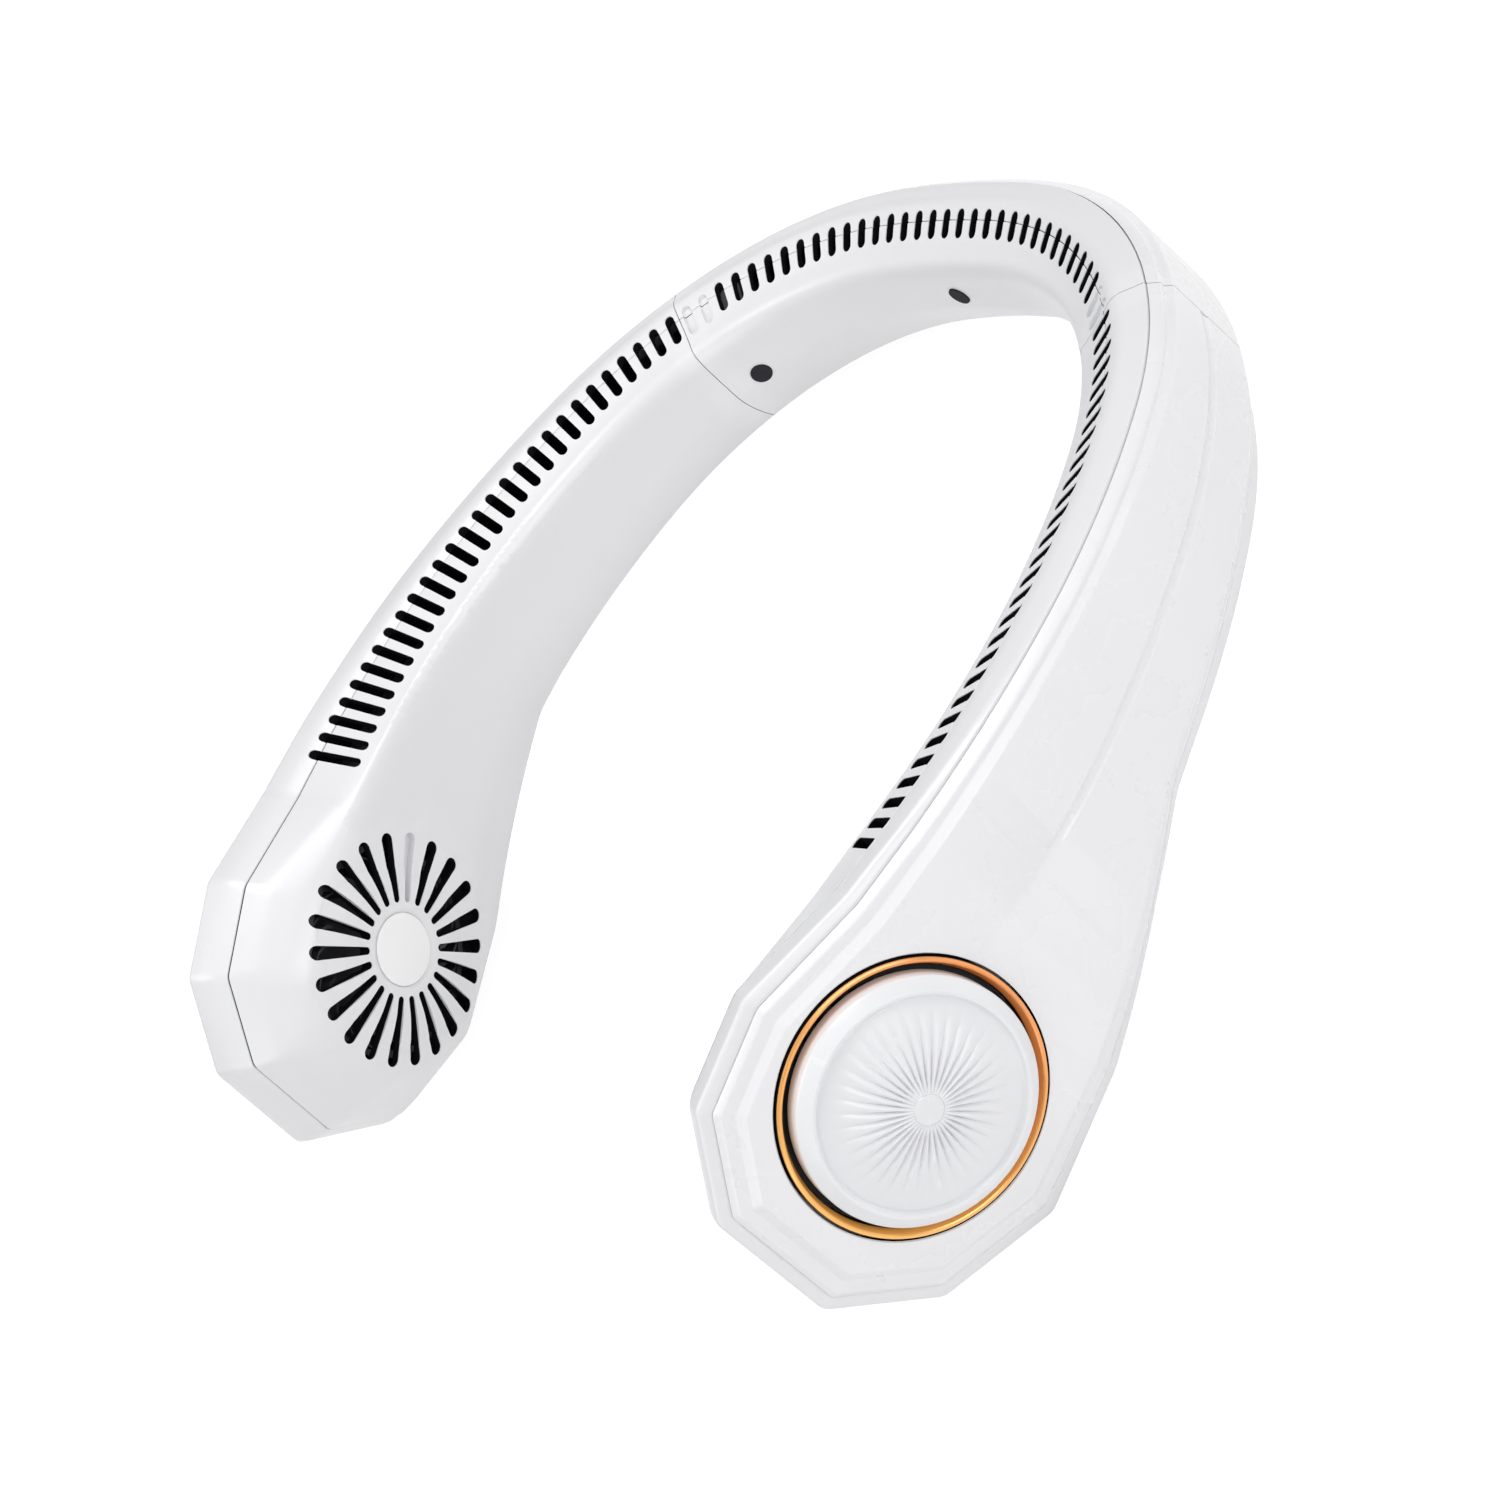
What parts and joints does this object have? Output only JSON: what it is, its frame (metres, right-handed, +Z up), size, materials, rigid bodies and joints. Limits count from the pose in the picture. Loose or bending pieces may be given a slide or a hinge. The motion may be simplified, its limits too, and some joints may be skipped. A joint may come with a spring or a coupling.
{
  "type": "electric neck fan",
  "caption": "Horseshoe-shaped bladeless neck fan with a gold-ringed round intake on each head, inner grilles and a row of air vents along its upper edge.",
  "frame": {"origin": "under the middle of the part, on the plane that it stands on", "axes": "+Z up, +X towards the head on the wearer's right in the picture's near arm, +Y towards the back of the neck, heads towards -Y"},
  "size_m": [0.191, 0.1868, 0.0599],
  "materials": {
    "shell_white": "glossy moulded white",
    "cover_white": "high gloss white",
    "cap_white": "glossy white",
    "ring_gold": "polished gold plating",
    "frame_grey": "moulded dark grey",
    "fan_grey": "moulded black",
    "steel": "bright",
    "copper": "enamelled copper windings",
    "plug_rubber": "soft pale grey",
    "battery_wrap": "heat-shrink film",
    "board_green": "solder mask",
    "switch_black": "moulded",
    "button_white": "glossy white",
    "light_lens": "translucent white"
  },
  "bodies": {
    "housing": {"back_inner_shell": "shell_white", "back_outer_shell": "shell_white", "back_cover": "cover_white", "right_arm_inner_shell": "shell_white", "left_arm_inner_shell": "shell_white", "right_arm_outer_shell": "shell_white", "left_arm_outer_shell": "shell_white", "right_arm_cover": "cover_white", "left_arm_cover": "cover_white", "right_intake_ring": "ring_gold", "left_intake_ring": "ring_gold", "right_intake_cap": "cap_white", "left_intake_cap": "cap_white", "right_motor_mount": "frame_grey", "left_motor_mount": "frame_grey", "right_stator": "copper", "left_stator": "copper", "right_scroll": "frame_grey", "left_scroll": "frame_grey", "right_grille_disc": "cover_white", "left_grille_disc": "cover_white", "right_joint_sleeve": "frame_grey", "left_joint_sleeve": "frame_grey", "right_screw": "steel", "left_screw": "steel", "middle_screw": "steel", "right_plug": "plug_rubber", "left_plug": "plug_rubber", "middle_plug": "plug_rubber", "right_duct_floor": "frame_grey", "left_duct_floor": "frame_grey", "right_battery": "battery_wrap", "left_battery": "battery_wrap", "control_board": "board_green", "charging_port": "steel", "power_switch": "switch_black", "status_light": "light_lens"},
    "right_fan": {"right_rotor": "steel", "right_impeller": "fan_grey"},
    "left_fan": {"left_rotor": "steel", "left_impeller": "fan_grey"},
    "power_button": {"power_button": "button_white"}
  },
  "joints": [
    {"name": "right_fan_spin", "type": "hinge", "parent": "housing", "child": "right_fan", "pos_m": [0.08673, -0.06187, 0.03139], "axis": [0.961, -0.2279, 0.1565], "continuous": true},
    {"name": "left_fan_spin", "type": "hinge", "parent": "housing", "child": "left_fan", "pos_m": [-0.08673, -0.06187, 0.03139], "axis": [-0.961, -0.2279, 0.1565], "continuous": true},
    {"name": "power_button_press", "type": "slide", "parent": "housing", "child": "power_button", "axis": [0.993, -0.0227, 0.1163], "range_m": [0, 0.0006], "stiffness_N_per_m": 1500}
  ]
}
